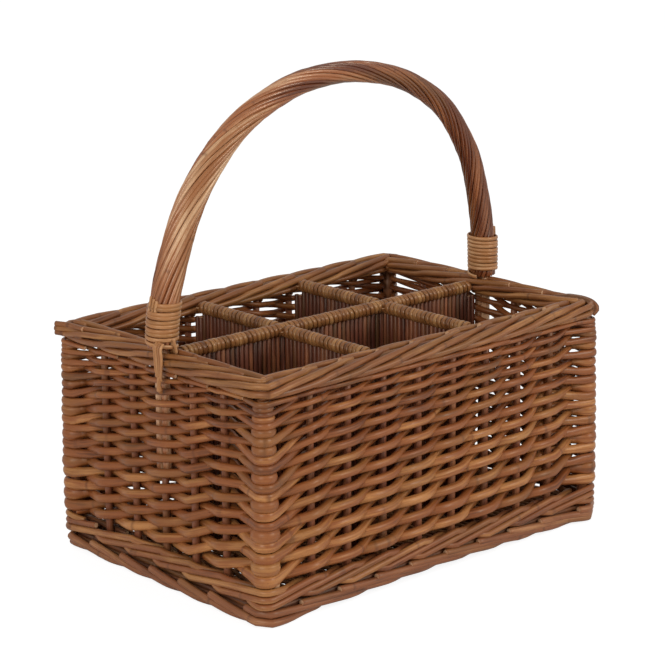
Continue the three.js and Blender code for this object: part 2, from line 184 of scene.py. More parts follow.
def smoothLine(points, count):
    # centripetal spline through the points, evenly spaced along its length
    p = np.array(points, float)
    p = np.vstack([2 * p[0] - p[1], p, 2 * p[-1] - p[-2]])
    line = []
    for i in range(1, len(p) - 2):
        k = [0.0]
        for a, b in ((i - 1, i), (i, i + 1), (i + 1, i + 2)):
            k.append(k[-1] + np.linalg.norm(p[b] - p[a]) ** 0.5)
        for t in np.linspace(k[1], k[2], 40, endpoint=False):
            before = mixAt(p[i - 1], p[i], k[0], k[1], t)
            middle = mixAt(p[i], p[i + 1], k[1], k[2], t)
            after = mixAt(p[i + 1], p[i + 2], k[2], k[3], t)
            before = mixAt(before, middle, k[0], k[2], t)
            after = mixAt(middle, after, k[1], k[3], t)
            line.append(mixAt(before, after, k[1], k[2], t))
    line = np.array(line + [p[-2]])
    along = lengthsOf(line)
    even = np.linspace(0, along[-1], count)
    return np.stack([np.interp(even, along, line[:, i]) for i in range(3)], axis=1)


# How a rod is cut off, and the bud scars on its bark, in mm
bark = {"bevel": 0.35, "cutFace": 0.82, "scarEvery": 90, "scarLength": 2.6, "scarSwell": 0.07}


def padEnds(values, share=1.0):
    return np.concatenate([values[:1] * share, values, values[-1:] * share])


def addRod(bundle, path, radii, tone, sides=10, ends=(True, True), seed=None, wane=0.0, tall=1.0):
    # a round rod with a small bevel at each cut end, and a bud scar here and
    # there. tall: how much it is squeezed to stand taller than it is wide
    path = np.asarray(path, float)
    radii = padEnds(np.broadcast_to(radii, len(path)), bark["cutFace"])
    talls = padEnds(np.broadcast_to(tall, len(path)))
    tangents = directionsOf(path)
    bevels = tangents[[0, -1]] * bark["bevel"]
    path = np.concatenate([path[:1] - bevels[0], path, path[-1:] + bevels[1]])
    tangents = padEnds(tangents)
    alongs = lengthsOf(path)
    knots = np.zeros(len(path))
    if seed is not None:
        rng = random.Random(seed)
        for _ in range(max(1, int(alongs[-1] / bark["scarEvery"]))):
            at = rng.uniform(0, alongs[-1])
            near = np.exp(-(((alongs - at) / bark["scarLength"]) ** 2))
            radii = radii * (1 + bark["scarSwell"] * near)
            knots = np.maximum(knots, near)
    normal = np.cross(tangents[0], (0.0, 0.0, 1.0))
    if np.linalg.norm(normal) < 0.3:
        normal = np.cross(tangents[0], (1.0, 0.0, 0.0))
    angles = fullTurn * np.arange(sides) / sides
    circle = np.stack([np.cos(angles), np.sin(angles)], axis=1)
    rings = []
    for i in range(len(path)):
        normal = normal - tangents[i] * np.dot(normal, tangents[i])
        normal /= np.linalg.norm(normal)
        reach = radii[i] * (1 + wane * np.cos(3 * angles + 0.03 * alongs[i]))
        offsets = circle * reach[:, None] @ (normal, np.cross(tangents[i], normal))
        rings.append(path[i] + offsets * (1 / talls[i], 1 / talls[i], talls[i]))
    addRings(bundle, rings, alongs, radii[:, None, None] * circle, tone, ends, knots)


# Section of a split skein: flat against its rod, crowned outside
skeinSection = [
    (-1, -0.5), (-0.8, -1), (0.8, -1), (1, -0.5), (0.9, 0.35),
    (0.45, 0.9), (0, 1), (-0.45, 0.9), (-0.9, 0.35),
]


def alongRod(path, first, last):
    # a value for each ring of a rod, with the two that its bevels add
    return np.linspace(first, last, len(path) + 2)


def addSkein(bundle, path, outward, width, thickness, tone):
    path = np.asarray(path, float)
    tangents = directionsOf(path)
    section = [(x * width / 2, y * thickness / 2) for x, y in skeinSection]
    rings = []
    for i, out in enumerate(np.asarray(outward, float)):
        out = out - tangents[i] * np.dot(out, tangents[i])
        out /= np.linalg.norm(out)
        across = np.cross(out, tangents[i])
        rings.append([path[i] + across * x + out * y for x, y in section])
    addRings(bundle, rings, lengthsOf(path), [section] * len(path), tone, (True, True))


def addObject(name, data):
    thing = bpy.data.objects.new(name, data)
    bpy.context.scene.collection.objects.link(thing)
    return thing


def finishBundle(bundle, name, look, nodes=()):
    mesh = bpy.data.meshes.new(name)
    points = np.array(bundle["points"], float) * mm
    mesh.from_pydata(points.tolist(), [], bundle["faces"])
    coord = mesh.attributes.new("rodCoord", "FLOAT_VECTOR", "POINT")
    coord.data.foreach_set("vector", (np.array(bundle["coord"], np.float32) * mm).ravel())
    shade = mesh.attributes.new("rodShade", "FLOAT_COLOR", "POINT")
    shade.data.foreach_set("color", np.array(bundle["shade"], np.float32).ravel())
    mesh.shade_smooth()
    mesh.materials.append(willow[look])
    mesh.update()
    piece = addObject(name, mesh)
    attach(piece, "root")
    if nodes:
        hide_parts(*nodes)


def paint(hexColor):
    parts = [int(hexColor[i:i + 2], 16) / 255 for i in (1, 3, 5)]
    return tuple(c / 12.92 if c <= 0.04045 else ((c + 0.055) / 1.055) ** 2.4 for c in parts) + (1.0,)


willowTones = ("Dark", "Middle", "Light")

# These tones of each kind of rod, and its roughness
willowLooks = {
    "siding": ("#5c2e16", "#8f5027", "#bd814a", 0.41),
    "stake": ("#572e20", "#8a5036", "#ae7148", 0.45),
    "wale": ("#5a2d1a", "#8b502d", "#b37c48", 0.42),
    "foot": ("#522d1d", "#8c5434", "#b57e53", 0.46),
    "rim": ("#522a15", "#86502b", "#b57e49", 0.42),
    "handle": ("#5e2916", "#a3623a", "#e5b990", 0.27),
    "skein": ("#7a4725", "#ad7547", "#d8aa7c", 0.33),
    # the divider uprights' dark tones are painted shade, as they stand in the shade inside the basket
    "divider": ("#3d1b12", "#66321f", "#9a5c39", 0.46),
    "wrap": ("#643a1f", "#8f5d34", "#bb8c58", 0.28),
    "base": ("#57331f", "#8a5a3a", "#b48559", 0.55),
}

# The gloss that all willow has, with warm highlights
willowGloss = {
    "Specular IOR Level": 0.55,
    "Specular Tint": (1.0, 0.84, 0.66, 1),
    "Coat Weight": 0.12,
    "Coat Roughness": 0.34,
    "Coat Tint": (1.0, 0.9, 0.76, 1),
}
ownGloss = {"handle": {"Specular IOR Level": 0.85}}
barkBump = {"Strength": 0.45, "Distance": 0.0003}

# Patterns in the bark: scale along and across the rod, detail and roughness
barkNoise = {
    "fibre": ((70, 2600, 2600), 3.0, 0.6),
    "streak": ((22, 700, 700), 2.0, 0.55),
    "patch": ((26, 90, 90), 3.0, 0.55),
    "pore": ((900, 1500, 1500), 1.0, 0.55),
    "hue": ((9, 60, 60), 1.0, 0.55),
}
olive = paint("#84602f")
pithDark, pithLight = paint("#b98660"), paint("#e0b68e")


def feed(node, key, value):
    # sets an input of a shader node, or links it
    if isinstance(value, (int, float, tuple)):
        node.inputs[key].default_value = value
    else:
        node.id_data.links.new(value, node.inputs[key])


def nodesOf(owner):
    owner.use_nodes = True
    return owner.node_tree.nodes


def buildRodGroup():
    group = bpy.data.node_groups.new("willowRod", "ShaderNodeTree")
    for way, kind, names in (
        ("INPUT", "Color", willowTones),
        ("INPUT", "Float", ("Roughness",)),
        ("OUTPUT", "Color", ("Color",)),
        ("OUTPUT", "Float", ("Roughness", "Height")),
    ):
        for name in names:
            group.interface.new_socket(name, in_out=way, socket_type="NodeSocket" + kind)
    nodes = group.nodes
    inputs = nodes.new("NodeGroupInput")
    outputs = nodes.new("NodeGroupOutput")
    dark, middle, light = (inputs.outputs[name] for name in willowTones)

    coord = nodes.new("ShaderNodeAttribute")
    coord.attribute_name = "rodCoord"
    shade = nodes.new("ShaderNodeAttribute")
    shade.attribute_name = "rodShade"
    split = nodes.new("ShaderNodeSeparateColor")
    feed(split, 0, shade.outputs["Color"])
    ownTone, cutFace, knot = split.outputs

    def noise(scale, detail, rough):
        stretch = nodes.new("ShaderNodeVectorMath")
        stretch.operation = "MULTIPLY"
        feed(stretch, 0, coord.outputs["Vector"])
        feed(stretch, 1, scale)
        node = nodes.new("ShaderNodeTexNoise")
        feed(node, "Scale", 1.0)
        feed(node, "Detail", detail)
        feed(node, "Roughness", rough)
        feed(node, "Vector", stretch.outputs[0])
        return node.outputs["Fac"]

    def compute(operation, a, b, clamp=False):
        node = nodes.new("ShaderNodeMath")
        node.operation = operation
        node.use_clamp = clamp
        feed(node, 0, a)
        feed(node, 1, b)
        return node.outputs[0]

    def times(a, b):
        return compute("MULTIPLY", a, b)

    def addSwing(a, pattern, amount):
        # adds a pattern that goes as far below its middle as above it
        return compute("ADD", a, times(compute("SUBTRACT", pattern, 0.5), amount))

    def mixColor(fac, a, b):
        node = nodes.new("ShaderNodeMix")
        node.data_type = "RGBA"
        feed(node, 0, fac)
        feed(node, 6, a)
        feed(node, 7, b)
        return node.outputs[2]

    def ramp(value, low, high):
        node = nodes.new("ShaderNodeMapRange")
        node.interpolation_type = "SMOOTHSTEP"
        feed(node, "Value", value)
        feed(node, "From Min", low)
        feed(node, "From Max", high)
        return node.outputs["Result"]

    fibre, streak, patch, pore, hue = (noise(*pattern) for pattern in barkNoise.values())
    tone = addSwing(ownTone, patch, 1.0)
    tone = addSwing(tone, streak, 0.85)
    tone = addSwing(tone, fibre, 0.55)
    color = mixColor(ramp(tone, 0.0, 0.5), dark, middle)
    color = mixColor(ramp(tone, 0.5, 1.0), color, light)
    color = mixColor(times(ramp(pore, 0.62, 0.74), 0.35), color, dark)
    knotMask = times(ramp(knot, 0.45, 1.0), 0.6)
    color = mixColor(knotMask, color, dark)
    color = mixColor(times(ramp(hue, 0.48, 0.66), 0.25), color, olive)
    color = mixColor(cutFace, color, mixColor(ramp(patch, 0.35, 0.65), pithDark, pithLight))
    rough = addSwing(inputs.outputs["Roughness"], streak, 0.3)
    rough = compute("ADD", rough, times(cutFace, 0.3), clamp=True)
    height = compute("ADD", times(fibre, 0.5), times(streak, 0.5))
    height = compute("ADD", height, times(knotMask, 0.8))
    feed(outputs, "Color", color)
    feed(outputs, "Roughness", rough)
    feed(outputs, "Height", height)
    return group


rodGroup = buildRodGroup()


def willowMaterial(kind):
    *tones, roughness = willowLooks[kind]
    material = bpy.data.materials.new("willow_" + kind)
    nodes = nodesOf(material)
    shader = nodes["Principled BSDF"]
    rod = nodes.new("ShaderNodeGroup")
    rod.node_tree = rodGroup
    for name, tone in zip(willowTones, tones):
        feed(rod, name, paint(tone))
    feed(rod, "Roughness", roughness)
    bump = nodes.new("ShaderNodeBump")
    for name, value in barkBump.items():
        feed(bump, name, value)
    feed(bump, "Height", rod.outputs["Height"])
    feed(shader, "Base Color", rod.outputs["Color"])
    feed(shader, "Roughness", rod.outputs["Roughness"])
    feed(shader, "Normal", bump.outputs["Normal"])
    for name, value in {**willowGloss, **ownGloss.get(kind, {})}.items():
        feed(shader, name, value)
    return material


willow = {kind: willowMaterial(kind) for kind in willowLooks}
print("stage: materials built")


wallSteps = 10  # points of a path for each space
postSteps = 1.6  # as many times more beside a corner post
turnSteps = 5  # pieces of the bend round a post


# Follows the wall between two places. setOut, height and thickness are
# functions of the place; the rod turns round each corner post it meets.
def followWall(first, last, setOut, height, thickness):
    stops = [first, *range(math.ceil(first + 1e-6), math.ceil(last - 1e-6)), last]
    path, radii = [], []
    for a, b in zip(stops, stops[1:]):
        w, _ = wallAt(a + (b - a) / 2)
        before = w["first"] + places * math.floor((a + b) / 2 / places)
        beside = isCorner(a) or isCorner(b)
        count = max(2, math.ceil((b - a) * wallSteps * (postSteps if beside else 1)))
        for i in range(count + 1 if b == last else count):
            place = a + (b - a) * i / count
            n, z, r = setOut(place), height(place), thickness(place)
            spots = [(uAt(w, place - before), n)]
            corner = w
            if i == 0 and isCorner(a) and a != first:
                corner, _ = wallAt(a - 0.5)
                spots = [(corner["half"] + n, n)]
                if n > 0:
                    bends = [pi / 2 * t / turnSteps for t in range(turnSteps + 1)]
                    spots = [(corner["half"] + n * sin(t), n * cos(t)) for t in bends]
            elif n < 0 and abs(spots[0][0]) > w["half"] + n:
                spots = []
            path += [onWall(corner, u, out, z) for u, out in spots]
            radii += [r] * len(spots)
    return path, radii


# Siding: every rod climbs half a round at each stake, in front of one and
# behind the next, and nearly always goes round the outside of a corner post
siding = {
    "rounds": [37.5, 50.5, 63.5, 76.5, 88.5, 100.0, 111.5, 122.5, 133.0, 142.5, 151.5, 160.0, 167.0],
    "cornerLevels": [
        35.6, 44.6, 52.6, 57.5, 62.1, 70.0, 77.5, 81.0, 85.0, 92.2, 98.6, 101.6, 105.0,
        112.0, 119.0, 122.6, 126.1, 132.9, 139.8, 146.2, 151.3, 155.6, 159.4, 163.0, 166.5,
    ],
    "insideCorner": (3, 7, 11, 15),  # levels that pass inside a corner post
    "lowestButt": 0.86,  # how far before its first stake a rod starts
    "insideLift": 0.5,  # share of a round gained behind a stake
    "cornerLift": 1.05,  # the same behind the last stake before a corner
    "fill": 0.585,  # rod radius against the height of half a round
    "pressed": 0.5,  # how far rods and stakes give way
    "ways": [0, 0.12, 0.4, 0.62, 0.8, 1],  # share of the way to the next stake
    "goingIn": [1, 0.86, 0.16, -0.42, -0.75, -1],  # from outside to inside
    "comingOut": [-1, -0.74, 0.34, 0.94, 1.04, 1],
    "climbIn": [0, 0.03, 0.18, 0.5, 0.75, 1],  # and how much of the climb is made
    "climbOut": [0, 0.22, 0.74, 0.93, 0.98, 1],
    "early": 0.9,  # how much of this way the long walls follow
    "cornerFill": 0.52,  # rod radius against the spacing on a corner post
    "hugAngle": 62.0,  # how far a short wrap goes round the post
    "dipIn": -4.8,  # how deep it then lies
    "backFrom": 0.3,  # share of the way where it starts to come out
    "backWay": 0.62,
    "leaves": 0.4,  # and where it is free of the post
    "postRest": 0.14,  # share of the space beside a post without climb
    "topRise": 0.6,  # past the last stake, for each space
    "cornerTall": 0.3,  # how much a corner post flattens a rod
    "uneven": 0.5,
    "seed": 11,
}


def roundHeight(level):
    rounds = siding["rounds"]
    i = min(max(math.floor(level / 2), 0), len(rounds) - 2)
    return mix(rounds[i], rounds[i + 1], level / 2 - i)


def cornerHeight(level):
    heights = siding["cornerLevels"]
    if level < 0 or level >= len(heights):
        return roundHeight(level)
    return heights[int(level)]


def sidingRadius(level):
    return siding["fill"] * (roundHeight(level + 1) - roundHeight(level - 1)) / 2


def onBow(q, z):
    return q % places in bowPlaces and z > body["bowBottom"] - 4


def stakeClear(q, z):
    if isCorner(q):
        return body["postRadius"]
    return body["bowRadius" if onBow(q, z) else "stakeRadius"]


def bowFlat(q, z):
    # the weave lies flat over the two rods of the bow
    return 0.17 if onBow(q, z) else 0.03


def cornerNearness(point):
    # 1 beside a corner post, 0 about 15 mm away, and less high up
    away = math.hypot(body["halfX"] - abs(point[0]), body["halfY"] - abs(point[1]))
    low = 1 - 0.6 * smooth((point[2] - 130) / 30)
    return low * (1 - smooth((away - 8) / 9))


def sidingRod(bundle, start, rng):
    topLevel = 2 * len(siding["rounds"]) - 2
    fat = rng.uniform(0.93, 1.05)
    ownSeed = rng.uniform(0, 6)

    def isOutside(q):
        k = q - start
        if isCorner(q):
            return k not in siding["insideCorner"]
        return k % 2 == 0

    def stakeHeight(q):
        k = q - start
        if isCorner(q):
            return cornerHeight(k)
        if k % 2 == 0:
            return roundHeight(k)
        lift = siding["cornerLift" if isCorner(q + 1) else "insideLift"]
        return mix(roundHeight(k - 1), roundHeight(k + 1), lift)

    def stakeSide(q):
        k = q - start
        reach = stakeClear(q, stakeHeight(q)) + sidingRadius(k) * fat - siding["pressed"]
        return reach if isOutside(q) else -reach

    def early(q):
        return siding["early"] if wallAt(q + 0.5)[0]["long"] else 0.0

    def height(place):
        q, t = spaceOf(place)
        if place - start > topLevel:
            return stakeHeight(start + topLevel) + siding["topRise"] * (place - start - topLevel)
        rest = siding["postRest"]
        if isCorner(q):
            t = max(0.0, t - rest) / (1 - rest)
        elif isCorner(q + 1):
            t = min(1.0, t / (1 - rest))
        else:
            climb = siding["climbIn" if isOutside(q) else "climbOut"]
            t += early(q) * (np.interp(t, siding["ways"], climb) - t)
        z = mix(stakeHeight(q), stakeHeight(q + 1), t)
        return z + siding["uneven"] * wobble(place, (place - start) / 2, 1.3)

    def besideCorner(q, t):
        post, stake, away = (q, q + 1, t) if isCorner(q) else (q + 1, q, 1 - t)
        reach, end = stakeSide(post), stakeSide(stake)
        if reach < 0 or end < 0:
            return mix(reach, end, away)
        # a rod that is outside at the next stake too hugs the post, dips in
        # behind the rods laid over it and comes out again
        u = away * wallAt(q + 0.5)[0]["cornerSpace"]
        hug = radians(siding["hugAngle"])
        edge = reach * sin(hug)
        n = math.sqrt(max(reach ** 2 - u ** 2, 0.0))
        if u >= edge:
            n = reach * cos(hug) - (u - edge) * math.tan(hug)
        deep = siding["dipIn"]
        back = deep + (end - deep) * (away - siding["backFrom"]) / siding["backWay"]
        return min(max(n, deep, back), end if away > siding["leaves"] else reach)

    def setOut(place):
        q, t = spaceOf(place)
        if place - start > topLevel:
            return stakeSide(start + topLevel) * 0.92
        z = stakeHeight(q)
        if isCorner(q) or isCorner(q + 1):
            return besideCorner(q, t) + 0.15 * wobble(place, place - start, ownSeed)
        f0, f1 = bowFlat(q, z), bowFlat(q + 1, z)
        way = min(max((t - f0) / (1 - f0 - f1), 0.0), 1.0)
        crossing = siding["goingIn" if isOutside(q) else "comingOut"]
        side = np.interp(way, siding["ways"], crossing)
        even = (1 - 0.6 * smooth(way) - 1.4 * way) * (1 if isOutside(q) else -1)
        reach = mix(abs(stakeSide(q)), abs(stakeSide(q + 1)), way)
        return mix(even, side, early(q)) * reach + 0.2 * wobble(place, place - start, ownSeed)

    def thickness(place):
        k = place - start
        r = sidingRadius(k) * fat
        if isCorner(round(place)):
            near = 1 - smooth((abs(place - round(place)) - 0.15) / 0.3)
            level = round(k)
            tight = siding["cornerFill"] * (cornerHeight(level + 1) - cornerHeight(level - 1)) / 2
            r += (min(r, tight) - r) * near
        if k > topLevel:
            r *= 1 - 0.35 * (k - topLevel)
        return r * (1 + 0.03 * wobble(place * 1.7, start, 4.0))

    path, radii = followWall(
        start - siding["lowestButt"], start + topLevel + 0.6, setOut, height, thickness
    )
    tall = [1 + siding["cornerTall"] * cornerNearness(point) for point in path]
    tone = rng.uniform(0.3, 0.68) + 0.1 * alongRod(path, 1, -1)
    addRod(bundle, path, radii, tone, seed=start + 500, wane=0.02, tall=tall)


def wallNodes(kind):
    return [kind + "_" + w["name"] for w in walls]


bundle = newBundle()
rng = random.Random(siding["seed"])
for start in range(places):
    sidingRod(bundle, start, rng)
finishBundle(bundle, "siding_weave", "siding", wallNodes("siding"))
print("stage: siding woven")

# Wale: four rods work together, each in front of three stakes and behind one
wale = {
    "rods": 4,
    "rows": [16.3, 21.7, 27.2],
    "insideHeight": 21.8,
    "radius": 2.5,
    "first": (23.45, 0.9),  # where rod 0 starts, and how much later each next one
    "last": (24.35, 0.4),  # the same for the ends, one round on
    "seed": 23,
}


def waleRod(bundle, number, rng):
    first = wale["first"][0] + number * wale["first"][1]
    last = wale["last"][0] + places + number * wale["last"][1]
    fat = rng.uniform(0.92, 1.05)

    def phase(q):
        return (q - number) % wale["rods"]

    def stakeHeight(q):
        i = phase(q)
        return wale["rows"][i] if i < len(wale["rows"]) else wale["insideHeight"]

    def stakeSide(q):
        reach = (body["postRadius"] if isCorner(q) else body["stakeRadius"]) + wale["radius"] + 0.15
        return reach if phase(q) < len(wale["rows"]) else -reach

    def height(place):
        q, t = spaceOf(place)
        return mix(stakeHeight(q), stakeHeight(q + 1), t) + 0.35 * wobble(place, 0, 0.6)

    def setOut(place):
        q, t = spaceOf(place)
        n = mix(stakeSide(q), stakeSide(q + 1), smooth((t - 0.05) / 0.9))
        return n + 0.2 * wobble(place, number, 2.0)

    def thickness(place):
        share = (place - first) / (last - first)
        return wale["radius"] * fat * (1.06 - 0.14 * share)

    path, radii = followWall(first, last, setOut, height, thickness)
    tone = rng.uniform(0.45, 0.75) + 0.12 * np.sin(alongRod(path, 0, 9) + number)
    addRod(bundle, path, radii, tone, seed=number + 40)


bundle = newBundle()
rng = random.Random(wale["seed"])
for number in range(wale["rods"]):
    waleRod(bundle, number, rng)
finishBundle(bundle, "wale_weave", "wale", wallNodes("wale"))
print("stage: wale woven")


# Round the corners of the borders with one even bend
def borderPoint(place, n, z, turn):
    w, local = wallAt(place)
    u = uAt(w, local)
    bend = max(n + turn, 1.0)
    inset = bend - n
    centre = w["half"] - inset
    if abs(u) <= centre:
        return onWall(w, u, n, z)
    angle = pi / 4 * min((abs(u) - centre) / inset, 1.0)
    side = 1 if u > 0 else -1
    return onWall(w, side * (centre + bend * sin(angle)), n - bend + bend * cos(angle), z)


cornerSpots = (-0.3, -0.22, -0.15, -0.08, 0.0, 0.08, 0.15, 0.22, 0.3)
packingStart = 24.5  # place where the packing rods start and end


def borderPath(first, last, setOut, height, turn, steps=9):
    count = max(3, round((last - first) * steps))
    spots = [first + (last - first) * i / count for i in range(count + 1)]
    near = range(math.floor(first), math.ceil(last) + 1)
    extra = [q + d for q in near if isCorner(q) for d in cornerSpots]
    spots = [s for s in spots if all(abs(s - e) > 0.06 for e in extra)]
    spots = sorted(spots + [e for e in extra if first < e < last])
    return [borderPoint(s, setOut(s), height(s), turn) for s in spots], spots


def layPacking(bundle, n, z, turn, radius, tone):
    # a rod all the way round inside a border; its dark tone is painted shade in the gaps between the
    # border's rods
    path, _ = borderPath(packingStart, packingStart + places, lambda s: n, lambda s: z, turn, 4)
    addRod(bundle, path, radius, tone, sides=8)


# Foot border: one rod for each stake, from a pale butt under the wale down
# to the floor on the right
foot = {
    "radius": 2.9,
    "cornerFat": 1.12,
    "floorHeight": 2.7,
    "frontBow": 3.0,  # how far the front wall's foot arches up
    "bowFade": 12.0,  # height over the floor rods where that ends
    "cornerOut": 4.4,  # how far the front right corner splays out
    "cornerReach": 0.7,
    "tailIn": 11.0,
    "tailRise": 3.8,  # for each space, inside the stakes
    "turn": -2.5,
    "lead": 0.34,
    "packing": [(-0.5, 5.8), (-0.8, 10.6)],  # rods inside the border, out and up
    "packingRadius": 3.0,
    "leftFill": {"from": -109, "to": -58, "out": -5.2, "height": 22.5, "radius": 2.5},
    "seed": 31,
}

# fall and length are spaces, from the butt to the floor and to the tail's end
footWays = {
    "usual": {"buttHeight": 11.3, "steepness": 1.0, "out": 5.6, "fall": 2.6, "length": 5.0},
    "left": {"buttHeight": 10.2, "steepness": 1.5, "out": 6.8, "fall": 1.85, "length": 2.6},
}


def footRod(bundle, q, rng):
    first = q - foot["lead"] + rng.uniform(-0.03, 0.03)
    way = footWays["left" if wallAt(q + 0.5)[0]["name"] == "left" else "usual"]
    last = first + way["length"]
    fat = rng.uniform(0.95, 1.04)
    floor = foot["floorHeight"]

    def height(place):
        t = place - first
        left = max(0.0, 1 - t / way["fall"])
        z = mix(floor, way["buttHeight"], left ** way["steepness"])
        w, local = wallAt(place)
        if w["name"] == "front":
            arch = sin(pi * local / w["spaces"]) ** 2
            z += foot["frontBow"] * arch * max(0.0, 1 - (z - floor) / foot["bowFade"])
        return z + foot["tailRise"] * max(0.0, t - way["fall"] - 0.6)

    def setOut(place):
        t = place - first - way["fall"]
        inwards = 0.45 * smooth((t + 0.4) / 0.9) + 0.55 * smooth((t - 0.45) / 0.7)
        near = 1 - smooth(abs(place - walls[1]["first"]) / foot["cornerReach"])
        splay = foot["cornerOut"] * (1 - inwards) * near
        return way["out"] + splay - foot["tailIn"] * inwards + 0.15 * wobble(place, q, 1.0)

    path, spots = borderPath(first, last, setOut, height, foot["turn"])
    radii = []
    for s in spots:
        toCorner = min(abs((s - c + places / 2) % places - places / 2) for c in cornerPlaces)
        swell = mix(1, foot["cornerFat"], 1 - smooth(toCorner / 0.8))
        radii.append(foot["radius"] * fat * (1.0 - 0.04 * (s - first)) * swell)
    tone = rng.uniform(0.35, 0.65) + 0.08 * alongRod(path, 1, -1)
    addRod(bundle, path, radii, tone, seed=q + 70)


bundle = newBundle()
rng = random.Random(foot["seed"])
for q in range(places):
    footRod(bundle, q, rng)
# the foot border's packing rods are real rods, darkened as painted shade behind the foot rods
for n, z in foot["packing"]:
    layPacking(bundle, n, z, 0.0, foot["packingRadius"], 0.15)
# a dark rod laid inside the left wall behind the wale, as painted shade there
fill = foot["leftFill"]
path = [onWall(walls[3], u, fill["out"], fill["height"]) for u in np.linspace(fill["from"], fill["to"], 8)]
addRod(bundle, path, fill["radius"], 0.2, sides=8)
finishBundle(bundle, "foot_border_rods", "foot", wallNodes("foot_border"))
print("stage: foot border laid")

# Rim: outer rods climb from under the edge to the top, and inner rods start
# with a pale butt on the top and dip inside
rim = {
    "setIn": 2.6,
    "reach": 9.9,
    "rise": 5.2,
    "squareness": 2.7,
    "radius": 2.55,
    "turn": -6.0,
    "outerFrom": -72.0,
    "outerTo": 108.0,
    "outerSpaces": 3.35,
    "innerFrom": 97.0,
    "innerTo": 250.0,
    "innerSpaces": 3.1,
    "packing": [(5.2, 0.4), (-5.2, 0.4), (0.0, -1.0), (0.0, 2.2)],  # rods inside, out and up
    "packingRadius": 2.9,
    "ends": [(181.2, 6.2), (177.8, 6.9), (174.4, 6.4)],  # blunt ends at the back left: up, out
    "endSpots": (-92, -100, -106, -110, -114, -117, -120),
    "endOut": 5.2,
    "endBend": 108,  # along the wall, where the ends start to leave it
    "endRun": 15,
    "endRadius": 2.1,
    # rods of the right wall that bend down over its front corner: along, out and up
    "hooks": [
        [
            (-76, 1.6, 177.6), (-95, 4.0, 180.6), (-108, 6.0, 180.6),
            (-115.5, 7.2, 178.6), (-119.4, 7.2, 175), (-117.5, 4.6, 171),
        ],
        [
            (-80, -2.5, 178.6), (-97, 0.0, 181.2), (-108, 1.8, 181.4),
            (-114.5, 3.2, 179.8), (-117.6, 3.8, 176.2), (-116, 2.6, 172),
        ],
    ],
    "hookRadius": 2.6,
    "seed": 43,
}
rimMiddle = (body["rimBottom"] + body["rimTop"]) / 2


def rimSection(angle, lift):
    c, s = cos(radians(angle)), sin(radians(angle))
    power = 2 / rim["squareness"]
    n = (rim["reach"] + lift) * math.copysign(abs(c) ** power, c) - rim["setIn"]
    z = (rim["rise"] + lift) * math.copysign(abs(s) ** power, s)
    return n, rimMiddle + z


def rimRod(bundle, q, rng, inner):
    kind = "inner" if inner else "outer"
    first = q + rng.uniform(-0.05, 0.05)
    last = first + rim[kind + "Spaces"]
    fat = rng.uniform(0.93, 1.06)

    def section(place):
        t = (place - first) / (last - first)
        lift = 0.45 * max(0.0, 1 - 4 * t) if inner else -0.5 * max(0.0, 8 * t - 7)
        return rimSection(mix(rim[kind + "From"], rim[kind + "To"], t), lift)

    path, spots = borderPath(first, last, lambda s: section(s)[0], lambda s: section(s)[1], rim["turn"], 10)
    if not inner:
        root = borderPoint(first - 0.12, 0.0, body["rimBottom"] - 3.0, rim["turn"])
        path = [root] + path
        spots = [first - 0.12] + spots
    radii = [rim["radius"] * fat * (1.03 - 0.05 * (s - first)) for s in spots]
    tone = rng.uniform(0.42, 0.72) + 0.08 * alongRod(path, -1, 1)
    addRod(bundle, path, radii, tone, seed=q + (90 if inner else 130))


bundle = newBundle()
rng = random.Random(rim["seed"])
for q in range(places):
    rimRod(bundle, q, rng, False)
    rimRod(bundle, q, rng, True)
# the rim's packing rods are real rods, darkened as painted shade in the gaps between the rim rods
for n, z in rim["packing"]:
    layPacking(bundle, n - rim["setIn"], rimMiddle + z, rim["turn"], rim["packingRadius"], 0.25)
for height, reach in rim["ends"]:
    path = []
    for u in rim["endSpots"]:
        bent = max(0.0, (-u - rim["endBend"]) / rim["endRun"])
        path.append(onWall(walls[3], u, rim["endOut"] + reach * bent, height))
    tone = 0.5 + 0.12 * sin(height)
    addRod(bundle, smoothLine(path, 16), rim["endRadius"], tone, seed=int(height))
for route in rim["hooks"]:
    path = smoothLine([onWall(walls[1], *spot) for spot in route], 24)
    addRod(bundle, path, rim["hookRadius"], 0.25, seed=int(10 * route[0][1]))
finishBundle(bundle, "rim_border", "rim", wallNodes("rim"))
print("stage: rim rolled")

# Stakes and corner posts
uprights = {"bottom": 13.9, "top": 167.5, "stakeSeed": 57}


def uprightPath(w, u, top, lean):
    levels = np.linspace(uprights["bottom"], top, 9)
    return [onWall(w, u + lean * sin(0.02 * z + u), 0.0, z) for z in levels]


rng = random.Random(uprights["stakeSeed"])
for w in walls:
    bundle = newBundle()
    names = []
    for j in range(1, w["spaces"]):
        u = uAt(w, j)
        top = body["bowBottom"] - 1.0 if w["first"] + j in bowPlaces else uprights["top"]
        path = uprightPath(w, u, top, 0.4)
        radii = np.linspace(1.03, 0.95, 9) * body["stakeRadius"]
        addRod(bundle, path, radii, rng.uniform(0.3, 0.65), seed=200 + j + w["first"])
        names.append(f"stake_{w['name']}_{j}")
    finishBundle(bundle, "stakes_" + w["name"], "stake", names)
    bundle = newBundle()
    path = uprightPath(w, -w["half"], uprights["top"], 0.0)
    addRod(bundle, path, body["postRadius"], rng.uniform(0.35, 0.6), seed=300 + w["first"])
    finishBundle(bundle, "post_" + w["name"], "stake", ["corner_post_" + w["name"]])
print("stage: stakes set")

